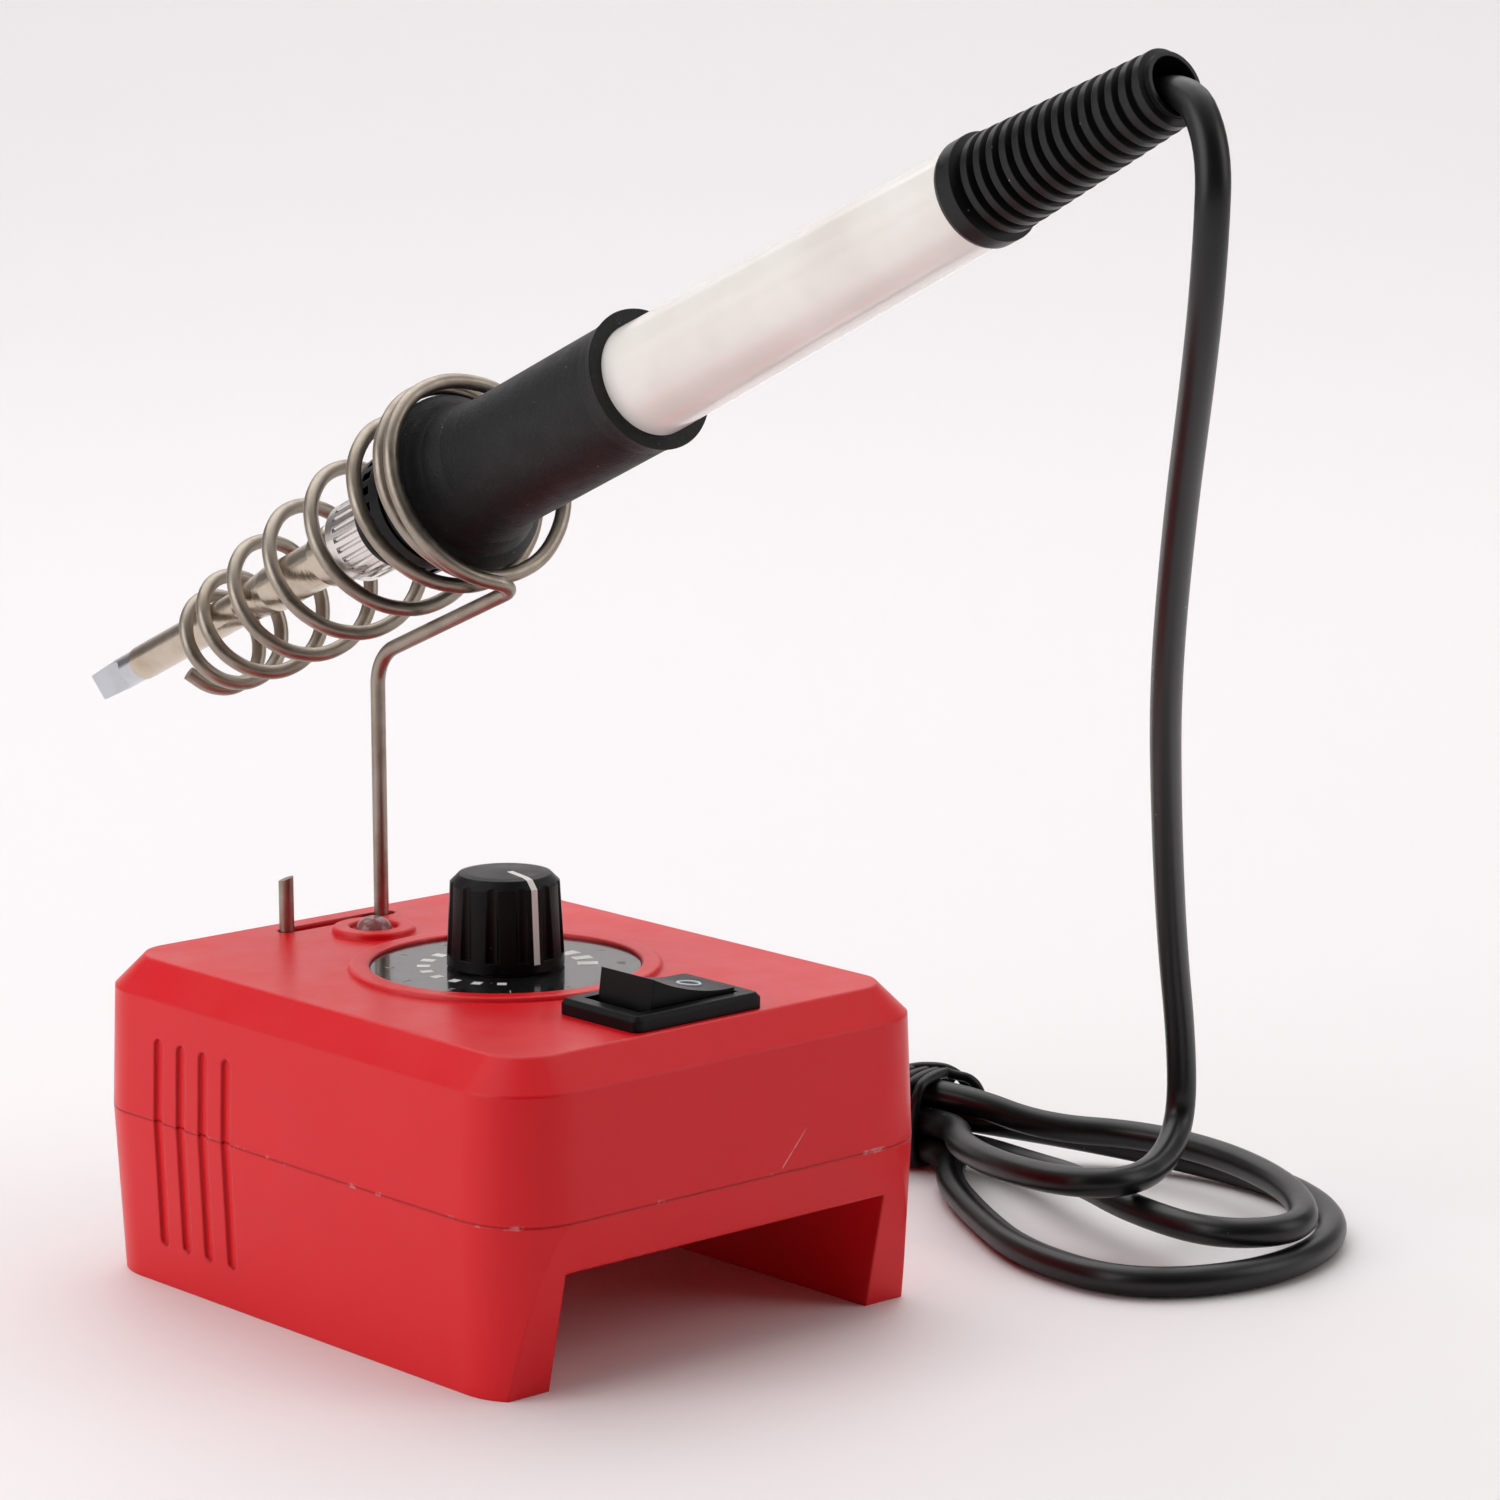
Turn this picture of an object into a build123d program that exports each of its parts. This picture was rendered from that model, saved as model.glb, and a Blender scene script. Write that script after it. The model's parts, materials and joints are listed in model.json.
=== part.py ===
from build123d import *
import math
import os

# Soldering iron station: a small two-part plastic base with a power dial, a coiled wire stand
# and a soldering iron resting in the coil. Origin: centre of the base on the floor. +Z up,
# -Y is the wall with the switch, the rear wall (+Y) carries the cord glands.
os.makedirs("parts", exist_ok=True)

# ---- driving dimensions (mm) ----
BASE_HALF_X = 35.5
BASE_HALF_Y = 44.75
SPLIT_Z = 22.1
EDGE_Z = 38.05
TOP_Z = 42.0
BEVEL = 3.95
DRAFT_TOP = 0.55
DRAFT_FLOOR = 0.95
CORNER_R = 10.0
WALL = 2.2
FRONT_LEAN = 4.85
TUNNEL_HALF = 26.3
TUNNEL_Z = 15.5
FLOOR_PLATE_Z = 17.7
ROOF_Z = 39.8
SCREW_X = 30.3
SCREW_Y = 36.0
GROOVE_Y = (27.9, 23.0, 18.2, 13.2)
GROOVE_DEPTH = 0.45
SWITCH_X = -1.0
SWITCH_Y = -31.8
ROCKER_PIVOT_Z = 40.5
ROCKER_TILT = 12.0
LED_Y = 27.8
SLOT_X = 0.0
SLOT_Y = 36.0
WIRE_D = 2.0
WIRE_Z = 36.9
IRON_X = 7.6
IRON_Z = 110.1
IRON_TILT = 24.06
CORD_D = 4.0
GLAND_Z = 28.0
POINTER_ANGLE = -97.0
TIP_ROLL = math.radians(-18)
COS_T = math.cos(math.radians(IRON_TILT))
SIN_T = math.sin(math.radians(IRON_TILT))
AXIS = Vector(0, -COS_T, SIN_T)
RISE = Vector(0, SIN_T, COS_T)
IRON_O = Vector(IRON_X, 0, IRON_Z)
IRON_PLANE = Plane(origin=IRON_O, x_dir=AXIS, z_dir=(-1, 0, 0))
IRON_AXIS = Axis(IRON_O, AXIS)


def finish(part, name):
    part.label = name
    export_step(part, "parts/" + name + ".step")


def station(s):
    """Plane square to the iron's axis, s mm from the reference point."""
    return Plane(origin=IRON_O + AXIS * s, x_dir=(1, 0, 0), z_dir=AXIS)


def groove_plane(slope, side):
    """Plane just under the drafted -X wall, GROOVE_DEPTH deep; side is -1 below the split, 1 above."""
    lean = math.atan(slope)
    return Plane(origin=(-BASE_HALF_X + GROOVE_DEPTH, 0, SPLIT_Z), x_dir=(0, -1, 0),
                 z_dir=(-math.cos(lean), 0, side * math.sin(lean)))


def fillet_radii(points, share=0.45):
    out = []
    for i in range(1, len(points) - 1):
        a = Vector(*points[i]) - Vector(*points[i - 1])
        b = Vector(*points[i + 1]) - Vector(*points[i])
        turn = math.acos(max(-1.0, min(1.0, a.dot(b) / a.length / b.length)))
        out.append(share * min(a.length, b.length) / math.tan(turn / 2))
    return out


# ---- lower shell ----
with BuildPart() as bottom_shell:
    with BuildSketch(Plane.XY) as s0:
        RectangleRounded(2 * (BASE_HALF_X - DRAFT_FLOOR), 2 * (BASE_HALF_Y - DRAFT_FLOOR), CORNER_R - 0.4)
    with BuildSketch(Plane.XY.offset(SPLIT_Z)) as s1:
        RectangleRounded(2 * BASE_HALF_X, 2 * BASE_HALF_Y, CORNER_R)
    loft(ruled=True)
    # leaning front and rear faces
    with BuildSketch(Plane.YZ.offset(-50)):
        for side in (-1, 1):
            with BuildLine():
                Polyline(
                    (side * BASE_HALF_Y, SPLIT_Z),
                    (side * (BASE_HALF_Y - FRONT_LEAN), 0),
                    (side * (BASE_HALF_Y - FRONT_LEAN - 0.22), -1),
                    (side * (BASE_HALF_Y + 10), -1),
                    (side * (BASE_HALF_Y + 10), SPLIT_Z),
                    close=True,
                )
            make_face()
    extrude(amount=100, mode=Mode.SUBTRACT)
    # tunnel between the two runners
    with BuildSketch(Plane.XY):
        Rectangle(2 * TUNNEL_HALF, 120)
    extrude(amount=TUNNEL_Z, mode=Mode.SUBTRACT)
    # cavity above the floor plate
    with BuildSketch(Plane.XY.offset(FLOOR_PLATE_Z)):
        RectangleRounded(2 * (BASE_HALF_X - WALL), 83.2, CORNER_R - WALL)
    extrude(amount=10, mode=Mode.SUBTRACT)
    # case screw pillars and board pillars
    with BuildSketch(Plane.XY.offset(FLOOR_PLATE_Z)):
        with GridLocations(2 * SCREW_X, 2 * SCREW_Y, 2, 2):
            Circle(3.4)
    extrude(amount=SPLIT_Z - FLOOR_PLATE_Z)
    with BuildSketch(Plane.XY.offset(FLOOR_PLATE_Z)):
        with Locations((-23, 26), (23, -15)):
            Circle(3.0)
    extrude(amount=22.0 - FLOOR_PLATE_Z)
    with BuildSketch(Plane.XY):
        with GridLocations(2 * SCREW_X, 2 * SCREW_Y, 2, 2):
            Circle(3.0)
    extrude(amount=16.0, mode=Mode.SUBTRACT)
    with BuildSketch(Plane.XY):
        with GridLocations(2 * SCREW_X, 2 * SCREW_Y, 2, 2):
            Circle(1.6)
    extrude(amount=30.0, mode=Mode.SUBTRACT)
    with BuildSketch(Plane.XY.offset(18.2)):
        with Locations((-23, 26), (23, -15)):
            Circle(1.1)
    extrude(amount=6, mode=Mode.SUBTRACT)
    # decorative grooves on the -X wall
    with BuildSketch(groove_plane(DRAFT_FLOOR / SPLIT_Z, -1)):
        for gy in GROOVE_Y:
            with Locations((-gy, 19.25 - SPLIT_Z)):
                SlotOverall(27.7, 1.9, rotation=90)
    extrude(amount=2, mode=Mode.SUBTRACT)
finish(bottom_shell.part, "bottom_shell")

# ---- upper shell ----
TOP_HALF_X = BASE_HALF_X - DRAFT_TOP
TOP_HALF_Y = BASE_HALF_Y - DRAFT_TOP
with BuildPart() as top_shell:
    with BuildSketch(Plane.XY.offset(SPLIT_Z)):
        RectangleRounded(2 * BASE_HALF_X, 2 * BASE_HALF_Y, CORNER_R)
    with BuildSketch(Plane.XY.offset(EDGE_Z)):
        RectangleRounded(2 * TOP_HALF_X, 2 * TOP_HALF_Y, CORNER_R - 0.5)
    loft(ruled=True)
    with BuildSketch(Plane.XY.offset(EDGE_Z)):
        RectangleRounded(2 * TOP_HALF_X, 2 * TOP_HALF_Y, CORNER_R - 0.5)
    with BuildSketch(Plane.XY.offset(TOP_Z)):
        RectangleRounded(2 * (TOP_HALF_X - BEVEL), 2 * (TOP_HALF_Y - BEVEL), CORNER_R - 0.5 - BEVEL)
    loft(ruled=True)
    # inside
    with BuildSketch(Plane.XY.offset(SPLIT_Z)):
        RectangleRounded(65.2, 83.2, CORNER_R - WALL - 0.6)
    extrude(amount=14.1, mode=Mode.SUBTRACT)
    with BuildSketch(Plane.XY.offset(36.0)):
        RectangleRounded(58.6, 76.6, 5.0)
    extrude(amount=ROOF_Z - 36.0, mode=Mode.SUBTRACT)
    # screw bosses
    with BuildSketch(Plane.XY.offset(SPLIT_Z)):
        with GridLocations(2 * SCREW_X, 2 * SCREW_Y, 2, 2):
            Circle(3.5)
    extrude(amount=15.0)
    with BuildSketch(Plane.XY.offset(SPLIT_Z)):
        with GridLocations(2 * SCREW_X, 2 * SCREW_Y, 2, 2):
            Circle(1.45)
    extrude(amount=13.0, mode=Mode.SUBTRACT)
    # boss for the clamp that holds the wire stand
    with BuildSketch(Plane.XY.offset(35.9)):
        with Locations((0, 32.9)):
            Circle(1.9)
    extrude(amount=4.2)
    with BuildSketch(Plane.XY.offset(35.9)):
        with Locations((0, 32.9)):
            Circle(1.0)
    extrude(amount=3.6, mode=Mode.SUBTRACT)
    # dial: raised rim with a shallow recess inside
    with BuildSketch(Plane.XY.offset(TOP_Z - 0.1)):
        Circle(20.3)
    extrude(amount=0.75)
    with BuildSketch(Plane.XY.offset(TOP_Z - 0.4)):
        Circle(17.6)
    extrude(amount=2.0, mode=Mode.SUBTRACT)
    with BuildSketch(Plane.XY.offset(30)):
        Circle(3.6)
    extrude(amount=20.0, mode=Mode.SUBTRACT)
    # lamp ring
    with BuildSketch(Plane.XY.offset(TOP_Z - 0.1)):
        with Locations((0, LED_Y)):
            Circle(5.6)
    extrude(amount=1.0)
    with BuildSketch(Plane.XY.offset(30)):
        with Locations((0, LED_Y)):
            Circle(2.55)
    extrude(amount=20.0, mode=Mode.SUBTRACT)
    with BuildSketch(Plane.XY.offset(TOP_Z + 0.2)):
        with Locations((0, LED_Y)):
            Circle(3.2)
    extrude(amount=2.0, mode=Mode.SUBTRACT)
    # slot for the wire stand
    with BuildSketch(Plane.XY.offset(38.0)):
        with Locations((SLOT_X, SLOT_Y)):
            SlotOverall(19.2, 2.6)
    extrude(amount=6.0, mode=Mode.SUBTRACT)
    # switch cut-out
    with BuildSketch(Plane.XY.offset(35.5)):
        with Locations((SWITCH_X, SWITCH_Y)):
            Rectangle(19.4, 13.1)
    extrude(amount=8.0, mode=Mode.SUBTRACT)
    # cord gland holes in the rear wall
    with BuildSketch(Plane.XZ.offset(-38)):
        with Locations((15, GLAND_Z), (-16, GLAND_Z)):
            Circle(3.6)
    extrude(amount=-10, mode=Mode.SUBTRACT)
    # decorative grooves on the -X wall
    with BuildSketch(groove_plane(DRAFT_TOP / (EDGE_Z - SPLIT_Z), 1)):
        for gy in GROOVE_Y:
            with Locations((-gy, 19.25 - SPLIT_Z)):
                SlotOverall(27.7, 1.9, rotation=90)
    extrude(amount=2, mode=Mode.SUBTRACT)
    # rounded edges of the two raised rings
    for rim_r, rim_z, soft in ((20.3, TOP_Z + 0.65, 0.45), (17.6, TOP_Z + 0.65, 0.3), (5.6, TOP_Z + 0.9, 0.5),
                               (3.2, TOP_Z + 0.9, 0.4)):
        rim = [
            e for e in top_shell.edges().filter_by(GeomType.CIRCLE)
            if abs(e.radius - rim_r) < 0.01 and abs(e.center().Z - rim_z) < 0.02
        ]
        fillet(rim, soft)
finish(top_shell.part, "top_shell")

# ---- case screws ----
for number, (sx, sy) in enumerate(((-1, -1), (1, -1), (1, 1), (-1, 1)), start=1):
    with BuildPart() as case_screw:
        with BuildSketch(Plane.XY.offset(13.8)):
            with Locations((sx * SCREW_X, sy * SCREW_Y)):
                Circle(2.7)
        extrude(amount=2.2)
        with BuildSketch(Plane.XY.offset(15.9)):
            with Locations((sx * SCREW_X, sy * SCREW_Y)):
                Circle(1.4)
        extrude(amount=17.0)
        with BuildSketch(Plane.XY.offset(13.8)):
            with Locations((sx * SCREW_X, sy * SCREW_Y)):
                Rectangle(3.2, 0.8)
                Rectangle(0.8, 3.2)
        extrude(amount=1.1, mode=Mode.SUBTRACT)
    finish(case_screw.part, "case_screw_%d" % number)

# ---- dial plate, potentiometer and its hardware ----
with BuildPart() as dial_plate:
    with BuildSketch(Plane.XY.offset(TOP_Z - 0.4)):
        Circle(17.45)
        Circle(3.6, mode=Mode.SUBTRACT)
    extrude(amount=0.55)
finish(dial_plate.part, "dial_plate")

with BuildPart() as pot_body:
    with BuildSketch(Plane.XY.offset(30.0)):
        Circle(8.0)
    extrude(amount=8.3)
    with BuildSketch(Plane.XY.offset(30.8)):
        Circle(3.1)
    extrude(amount=9, mode=Mode.SUBTRACT)
finish(pot_body.part, "pot_body")

with BuildPart() as pot_bush:
    with BuildSketch(Plane.XY.offset(38.3)):
        Circle(6.0)
    extrude(amount=1.5)
    with BuildSketch(Plane.XY.offset(39.7)):
        Circle(3.5)
    extrude(amount=5.5)
    with BuildSketch(Plane.XY.offset(38.0)):
        Circle(3.05)
    extrude(amount=9, mode=Mode.SUBTRACT)
finish(pot_bush.part, "pot_bush")

with BuildPart() as pot_washer:
    with BuildSketch(Plane.XY.offset(42.15)):
        Circle(5.5)
        Circle(3.5, mode=Mode.SUBTRACT)
    extrude(amount=0.5)
finish(pot_washer.part, "pot_washer")

with BuildPart() as pot_nut:
    with BuildSketch(Plane.XY.offset(42.65)):
        RegularPolygon(5.4, 6)
        Circle(3.5, mode=Mode.SUBTRACT)
    extrude(amount=2.0)
finish(pot_nut.part, "pot_nut")

with BuildPart() as pot_lugs:
    with BuildSketch(Plane.XY.offset(23.6)):
        with GridLocations(4.0, 0, 3, 1):
            with Locations((0, -8.4)):
                Rectangle(1.2, 0.6)
    extrude(amount=8.0)
    with BuildSketch(Plane.XY.offset(31.0)):
        with Locations((0, -8.35)):
            Rectangle(10.0, 0.7)
    extrude(amount=1.2)
finish(pot_lugs.part, "pot_lugs")

with BuildPart() as pot_shaft:
    with BuildSketch(Plane.XY.offset(31.1)):
        Circle(3.0)
    extrude(amount=20.9)
    chamfer(pot_shaft.edges().group_by(Axis.Z)[-1], 0.5)
finish(pot_shaft.part, "pot_shaft")

# ---- knob with its white pointer ----
KNOB_OUTER = [(0, 42.45), (7.6, 42.45), (7.6, 43.7), (7.1, 53.3), (6.0, 54.4), (5.0, 54.6), (0, 54.8)]
KNOB_INNER = [(0, 43.6), (7.25, 43.6), (6.75, 53.1), (5.8, 54.05), (4.9, 54.25), (0, 54.45)]
ridge = math.radians(POINTER_ANGLE)
with BuildPart() as knob_pointer:
    with BuildSketch(Plane.XZ):
        with BuildLine():
            Polyline(*KNOB_OUTER, close=True)
        make_face()
    revolve(axis=Axis.Z)
    with BuildSketch(Plane.XZ):
        with BuildLine():
            Polyline(*KNOB_INNER, close=True)
        make_face()
    revolve(axis=Axis.Z, mode=Mode.SUBTRACT)
    with BuildSketch(Plane.XY.offset(43.6)):
        with Locations(Location((4.7 * math.cos(ridge), 4.7 * math.sin(ridge), 0), (0, 0, POINTER_ANGLE))):
            Rectangle(7.0, 0.9)
    extrude(amount=12, mode=Mode.INTERSECT)
finish(knob_pointer.part, "knob_pointer")

with BuildPart() as knob:
    with BuildSketch(Plane.XZ):
        with BuildLine():
            Polyline(*KNOB_OUTER, close=True)
        make_face()
    revolve(axis=Axis.Z)
    with BuildSketch(Plane.XY.offset(44.0)):
        for k in range(12):
            ang = math.radians(POINTER_ANGLE + 15 + 30 * k)
            with Locations((7.75 * math.cos(ang), 7.75 * math.sin(ang))):
                Circle(0.95)
    extrude(amount=12, mode=Mode.SUBTRACT)
    with BuildSketch(Plane.XY.offset(42)):
        Circle(6.3)
    extrude(amount=3.9, mode=Mode.SUBTRACT)
    with BuildSketch(Plane.XY.offset(42)):
        Circle(3.0)
    extrude(amount=10.0, mode=Mode.SUBTRACT)
    add(knob_pointer.part, mode=Mode.SUBTRACT)
finish(knob.part, "knob")

# ---- circuit board and its parts ----
with BuildPart() as circuit_board:
    with BuildSketch(Plane.XY.offset(22.0)):
        with Locations((0, 5)):
            Rectangle(54, 50)
        with Locations((-23, 26), (23, -15)):
            Circle(1.3, mode=Mode.SUBTRACT)
    extrude(amount=1.6)
finish(circuit_board.part, "circuit_board")

for number, (bx, by) in enumerate(((-23, 26), (23, -15)), start=1):
    with BuildPart() as board_screw:
        with BuildSketch(Plane.XY.offset(23.6)):
            with Locations((bx, by)):
                Circle(2.4)
        extrude(amount=1.7)
        with BuildSketch(Plane.XY.offset(18.6)):
            with Locations((bx, by)):
                Circle(1.05)
        extrude(amount=5.2)
    finish(board_screw.part, "board_screw_%d" % number)

with BuildPart() as film_capacitor:
    with BuildSketch(Plane.XY.offset(23.6)):
        with Locations((-17, 12)):
            RectangleRounded(16, 8, 1.0)
    extrude(amount=11)
finish(film_capacitor.part, "film_capacitor")

with BuildPart() as power_resistor:
    with BuildSketch(Plane.XZ.offset(16)):
        with Locations((-19, 26.4)):
            Circle(2.6)
    extrude(amount=-15)
    with BuildSketch(Plane.XY.offset(23.6)):
        with Locations((-19, -14), (-19, -3)):
            Rectangle(0.8, 0.8)
    extrude(amount=2.0)
finish(power_resistor.part, "power_resistor")

with BuildPart() as heatsink:
    with BuildSketch(Plane.XY.offset(23.6)):
        with Locations((19, 4)):
            Rectangle(1.6, 22)
        for fy in range(5):
            with Locations((21.6, -6.2 + 5.1 * fy)):
                Rectangle(4.0, 1.2)
    extrude(amount=12)
finish(heatsink.part, "heatsink")

with BuildPart() as triac:
    with BuildSketch(Plane.XY.offset(26.0)):
        with Locations((16.0, 4)):
            Rectangle(4.4, 10)
    extrude(amount=9.5)
    with BuildSketch(Plane.XY.offset(23.6)):
        with Locations((16.0, 1.5), (16.0, 4), (16.0, 6.5)):
            Rectangle(0.6, 0.9)
    extrude(amount=2.6)
finish(triac.part, "triac")

with BuildPart() as fuse:
    with BuildSketch(Plane.YZ.offset(-6)):
        with Locations((-15, 26.2)):
            Circle(2.6)
    extrude(amount=20)
finish(fuse.part, "fuse")

with BuildPart() as terminal_block:
    with BuildSketch(Plane.XY.offset(23.6)):
        with Locations((-12, 25)):
            Rectangle(14, 7.6)
    extrude(amount=9)
    with BuildSketch(Plane.XY.offset(29.0)):
        with Locations((-16.5, 25), (-12, 25), (-7.5, 25)):
            Circle(1.6)
    extrude(amount=4, mode=Mode.SUBTRACT)
finish(terminal_block.part, "terminal_block")

# ---- indicator lamp ----
with BuildPart() as led_body:
    with BuildSketch(Plane.XY.offset(35.0)):
        with Locations((0, LED_Y)):
            Circle(2.9)
    extrude(amount=1.0)
    with BuildSketch(Plane.XY.offset(35.5)):
        with Locations((0, LED_Y)):
            Circle(2.5)
    extrude(amount=8.6)
    fillet(led_body.edges().group_by(Axis.Z)[-1], 2.2)
finish(led_body.part, "led_body")

for suffix, side in (("a", -1), ("b", 1)):
    with BuildPart() as led_lead:
        with BuildSketch(Plane.XY.offset(23.6)):
            with Locations((side * 1.27, LED_Y)):
                Rectangle(0.5, 0.5)
        extrude(amount=11.4)
    finish(led_lead.part, "led_lead_" + suffix)

# ---- switch ----
with BuildPart() as switch_housing:
    with BuildSketch(Plane.XY.offset(29.0)):
        with Locations((SWITCH_X, SWITCH_Y)):
            Rectangle(19.2, 12.9)
    extrude(amount=14.0)
    with BuildSketch(Plane.XY.offset(TOP_Z)):
        with Locations((SWITCH_X, SWITCH_Y)):
            RectangleRounded(21.0, 15.0, 1.2)
    extrude(amount=2.0)
    with BuildSketch(Plane.XY.offset(33.0)):
        with Locations((SWITCH_X, SWITCH_Y)):
            Rectangle(16.2, 10.6)
    extrude(amount=12.0, mode=Mode.SUBTRACT)
    with BuildSketch(Plane.XZ.offset(-SWITCH_Y - 6.0)):
        with Locations((SWITCH_X, ROCKER_PIVOT_Z)):
            Circle(1.06)
    extrude(amount=12.0, mode=Mode.SUBTRACT)
    chamfer(switch_housing.faces().sort_by(Axis.Z)[-1].outer_wire().edges(), 0.6)
finish(switch_housing.part, "switch_housing")

for suffix, side in (("a", -1), ("b", 1)):
    with BuildPart() as switch_tab:
        with BuildSketch(Plane.XY.offset(20.0)):
            with Locations((SWITCH_X + 5.0 * side, SWITCH_Y)):
                Rectangle(0.8, 4.8)
        extrude(amount=9.0)
    finish(switch_tab.part, "switch_tab_" + suffix)

# rocker drawn level, then tilted to its resting position with the -X end up
tilt = math.radians(ROCKER_TILT)
rocker_plane = Plane(origin=(SWITCH_X, SWITCH_Y, ROCKER_PIVOT_Z), x_dir=(math.cos(tilt), 0, -math.sin(tilt)),
                     z_dir=(0, -1, 0))
with BuildPart() as rocker:
    with BuildSketch(rocker_plane.offset(-4.95)):
        with BuildLine():
            ThreePointArc((-6.8, 5.8), (-3.4, 5.15), (0.0, 4.9))
            ThreePointArc((0.0, 4.9), (3.4, 5.0), (6.8, 5.6))
            Polyline((6.8, 5.6), (6.5, 1.0), (5.4, -1.6), (-5.4, -1.6), (-6.5, 1.0), (-6.8, 5.8))
        make_face()
    extrude(amount=9.9)
    with BuildSketch(rocker_plane.offset(-5.8)):
        Circle(1.0)
    extrude(amount=11.6)
finish(rocker.part, "rocker")

# ---- wire stand: foot, post, sloping run and tapering coil in one piece of wire ----
# turn, station along the iron's axis, coil radius
COIL = [
    (0.0, -13.8, 15.9), (0.25, -15.5, 13.9), (0.5, -16.2, 13.6), (0.75, -15.0, 14.1), (1.0, -15.9, 14.1),
    (1.25, -17.9, 13.8), (1.5, -18.9, 13.7), (1.75, -20.4, 13.6), (2.0, -22.4, 13.2), (2.5, -28.2, 12.5),
    (3.0, -34.6, 12.0), (3.5, -41.4, 11.1), (4.0, -47.3, 10.8), (4.5, -53.6, 10.2), (5.0, -58.8, 9.8),
    (5.5, -64.4, 9.1), (6.0, -69.6, 8.5), (6.5, -74.7, 7.8), (7.0, -77.8, 7.2), (7.5, -80.2, 6.8),
    (8.2, -82.8, 6.4),
]


def coil_value(turn, column):
    for low, high in zip(COIL[:-1], COIL[1:]):
        if turn <= high[0] + 1e-9:
            share = (turn - low[0]) / (high[0] - low[0])
            return low[column] + share * (high[column] - low[column])
    return COIL[-1][column]


STEPS = 12
wire_points = [(-8.3, SLOT_Y, 50.2), (-8.3, SLOT_Y, WIRE_Z), (7.6, SLOT_Y, WIRE_Z), (7.6, SLOT_Y, 77.4)]
for k in range(0, int(8.2 * STEPS) + 1):
    turn = k / STEPS
    reach = coil_value(turn, 1)
    radius = coil_value(turn, 2)
    sag = max(0.0, (-reach - 24) / 50)
    ang = 2 * math.pi * turn
    spot = IRON_O + AXIS * reach + Vector(-radius * math.sin(ang) + 0.8 * sag, 0, 0)
    spot = spot - RISE * (radius * math.cos(ang) + 2.4 * sag)
    wire_points.append((spot.X, spot.Y, spot.Z))
wire_radii = fillet_radii(wire_points)
wire_radii[0] = 3.0
wire_radii[1] = 3.0
wire_radii[2] = 6.0
wire_radii[3] = 2.6
with BuildPart() as stand_wire:
    with BuildLine() as wire_line:
        FilletPolyline(*wire_points, radius=wire_radii)
    with BuildSketch(Plane(origin=wire_points[0], z_dir=(0, 0, -1))):
        Circle(WIRE_D / 2)
    sweep(path=wire_line.wires()[0])
    # the free end of the foot is cut off at a slant
    with BuildSketch(Plane(origin=(-8.3, SLOT_Y, 49.1), z_dir=(-0.26, 0.23, 1))):
        Rectangle(5, 5)
    extrude(amount=3, mode=Mode.SUBTRACT)
finish(stand_wire.part, "stand_wire")

with BuildPart() as stand_clamp:
    with BuildSketch(Plane.XY.offset(34.4)):
        with Locations((0, 34.4)):
            RectangleRounded(9.0, 6.8, 1.0)
        with Locations((0, 32.9)):
            Circle(1.2, mode=Mode.SUBTRACT)
    extrude(amount=1.5)
    with BuildSketch(Plane.XY.offset(34.0)):
        with Locations((0, LED_Y)):
            Circle(3.3)
    extrude(amount=3.0, mode=Mode.SUBTRACT)
finish(stand_clamp.part, "stand_clamp")

with BuildPart() as clamp_screw:
    with BuildSketch(Plane.XY.offset(33.0)):
        with Locations((0, 32.9)):
            Circle(1.8)
    extrude(amount=1.4)
    with BuildSketch(Plane.XY.offset(34.0)):
        with Locations((0, 32.9)):
            Circle(0.95)
    extrude(amount=5.0)
finish(clamp_screw.part, "clamp_screw")

# ---- cord glands in the rear wall ----
GLAND = [
    (39.9, 0), (39.9, 4.9), (41.55, 4.9), (41.55, 3.55), (44.8, 3.55), (44.8, 5.4), (46.4, 5.2),
    (46.4, 4.4), (52.5, 3.3), (52.5, 0),
]
for name, gx in (("iron_gland", 15.0), ("mains_gland", -16.0)):
    with BuildPart() as gland:
        with BuildSketch(Plane(origin=(gx, 0, GLAND_Z), x_dir=(0, 1, 0), z_dir=(1, 0, 0))):
            with BuildLine():
                Polyline(*GLAND, close=True)
            make_face()
        revolve(axis=Axis((gx, 0, GLAND_Z), (0, 1, 0)))
    finish(gland.part, name)


# ---- soldering iron, all turned about one axis ----
def half_section(profile):
    with BuildSketch(IRON_PLANE) as section:
        with BuildLine():
            Polyline(*profile, close=True)
        make_face()
    return section.sketch


def turned(profile):
    revolve(half_section(profile), axis=IRON_AXIS)


with BuildPart() as tip:
    turned([(-111.1, 0), (-111.1, 1.85), (-110.9, 2.0), (-104.5, 2.3), (-70, 2.3), (-70, 0)])
    # chisel: two flats, rolled a little about the axis, meeting in a short edge
    edge_way = RISE * math.cos(TIP_ROLL) + Vector(1, 0, 0) * math.sin(TIP_ROLL)
    with BuildSketch(Plane(origin=IRON_O, x_dir=AXIS, z_dir=edge_way).offset(-4)):
        for side in (-1, 1):
            with BuildLine():
                Polyline((-111.3, side * 0.45), (-104.0, side * 0.95), (-102.6, side * 1.5), (-102.0, side * 2.5),
                         (-111.3, side * 4.0), close=True)
            make_face()
    extrude(amount=8, mode=Mode.SUBTRACT)
finish(tip.part, "tip")

with BuildPart() as barrel:
    turned([
        (-99.1, 2.3), (-99.1, 2.5), (-72, 2.5), (-64, 3.3), (-50, 3.3), (-50, 4.2), (-47, 4.2), (-46.4, 3.3),
        (-27, 3.3), (-27, 2.3),
    ])
finish(barrel.part, "barrel")

with BuildPart() as heater:
    turned([(-69.9, 0), (-69.9, 2.2), (-16, 2.2), (-16, 0)])
finish(heater.part, "heater")

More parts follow.
